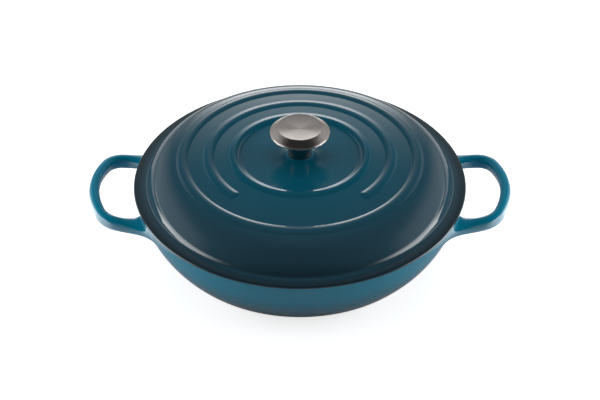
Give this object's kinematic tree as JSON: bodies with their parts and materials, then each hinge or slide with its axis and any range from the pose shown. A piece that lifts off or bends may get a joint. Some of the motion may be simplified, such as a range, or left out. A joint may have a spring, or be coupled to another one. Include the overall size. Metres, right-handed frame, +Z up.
{
  "type": "braiser",
  "caption": "Wide, shallow enamelled cast-iron braiser with sloping sides, loop side handles and a domed lid that carries raised rings and a dished steel knob.",
  "frame": {"origin": "centre of the bounding box on the plane that the foot ring stands on, which is on the axis of the pot, the lid and the knob", "axes": "+Z up along the pot's axis, +X through the two side handles, -Y towards the camera, where the gap in the lid's middle ring is"},
  "size_m": [0.401, 0.314, 0.1347],
  "materials": {
    "enamel": "glossy vitreous enamel, deep teal",
    "brushed_steel": "turned and brushed stainless steel",
    "polished_steel": "polished stainless steel",
    "plain_steel": "plain stainless steel"
  },
  "bodies": {
    "vessel": {"pot": "enamel"},
    "cover": {"lid": "enamel", "knob_neck": "polished_steel", "knob_head": "brushed_steel", "washer": "plain_steel", "knob_screw": "plain_steel"}
  },
  "joints": [
    {"name": "lid_lift", "type": "slide", "parent": "vessel", "child": "cover", "axis": [0, 0, 1], "range_m": [0, 0.15]}
  ]
}
